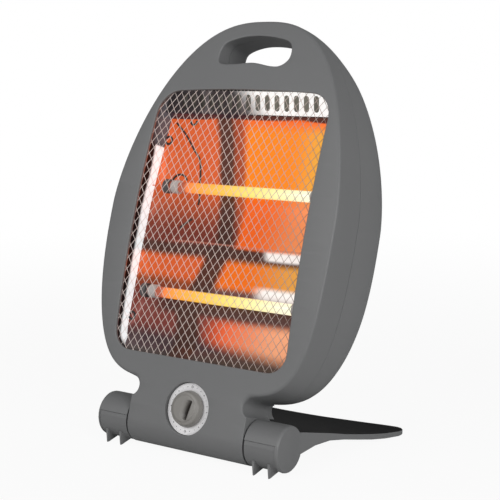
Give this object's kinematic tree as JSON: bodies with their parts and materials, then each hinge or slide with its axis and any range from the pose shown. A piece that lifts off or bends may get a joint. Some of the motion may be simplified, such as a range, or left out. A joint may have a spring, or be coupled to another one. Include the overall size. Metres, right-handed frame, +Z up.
{
  "type": "halogen heater",
  "caption": "Portable halogen heater with an egg-shaped grey head that tilts on a swept foot, a guarded reflector window and a power dial.",
  "frame": {"origin": "on the floor, in the middle of the heater's width and depth as it stands at rest", "axes": "+Z up, +X to the right of someone facing the front of the heater, +Y to the back"},
  "size_m": [0.2798, 0.1954, 0.4078],
  "materials": {
    "grey_plastic": "fine satin texture",
    "dark_plastic": "matte",
    "knob_plastic": "satin",
    "dial_print": "silver-white print with plain ticks and dots",
    "reflector_sheet": "bright rolled sheet",
    "guard_wire": "bright plated",
    "plain_steel": "plain sheet",
    "quartz_glass": "clear, glowing",
    "ceramic": "unglazed ceramic",
    "rubber": "matte"
  },
  "bodies": {
    "foot": {"foot_plate": "grey_plastic", "knuckle_cover_left": "grey_plastic", "knuckle_cover_right": "grey_plastic", "hinge_pin_left": "plain_steel", "hinge_pin_right": "plain_steel", "friction_washer_left": "dark_plastic", "friction_washer_right": "dark_plastic", "cover_screw_left": "plain_steel", "cover_screw_right": "plain_steel", "rubber_pad_left": "rubber", "rubber_pad_right": "rubber"},
    "head": {"front_shell": "grey_plastic", "rear_shell": "grey_plastic", "guard_mesh": "guard_wire", "guard_frame": "plain_steel", "reflector": "reflector_sheet", "heat_shield": "reflector_sheet", "halogen_tube_upper": "quartz_glass", "halogen_tube_lower": "quartz_glass", "tube_cap_upper_left": "ceramic", "tube_cap_upper_right": "ceramic", "tube_cap_lower_left": "ceramic", "tube_cap_lower_right": "ceramic", "lamp_bracket_left": "plain_steel", "lamp_bracket_right": "plain_steel", "dial_ring": "dial_print", "rotary_switch_body": "dark_plastic", "tip_switch_case": "dark_plastic", "terminal_block": "ceramic", "thermal_cutout": "dark_plastic", "cord_gland": "rubber", "shell_screw_1": "plain_steel", "shell_screw_2": "plain_steel", "shell_screw_3": "plain_steel", "shell_screw_4": "plain_steel", "shell_screw_5": "plain_steel", "shell_screw_6": "plain_steel"},
    "knob": {"control_knob": "knob_plastic", "switch_spindle": "plain_steel"},
    "tip_pendulum": {"tip_switch_pendulum": "plain_steel"}
  },
  "joints": [
    {"name": "head_tilt", "type": "hinge", "parent": "foot", "child": "head", "pos_m": [0, -0.07373, 0.024], "axis": [1, 0, 0], "range_deg": [-12, 17.25]},
    {"name": "power_knob", "type": "hinge", "parent": "head", "child": "knob", "pos_m": [0, -0.0856, 0.04748], "axis": [0, -0.955, 0.2965], "range_deg": [0, 180]},
    {"name": "tip_over_swing", "type": "hinge", "parent": "head", "child": "tip_pendulum", "pos_m": [-0.052, -0.01533, 0.12], "axis": [1, 0, 0], "range_deg": [-56, 22]}
  ]
}
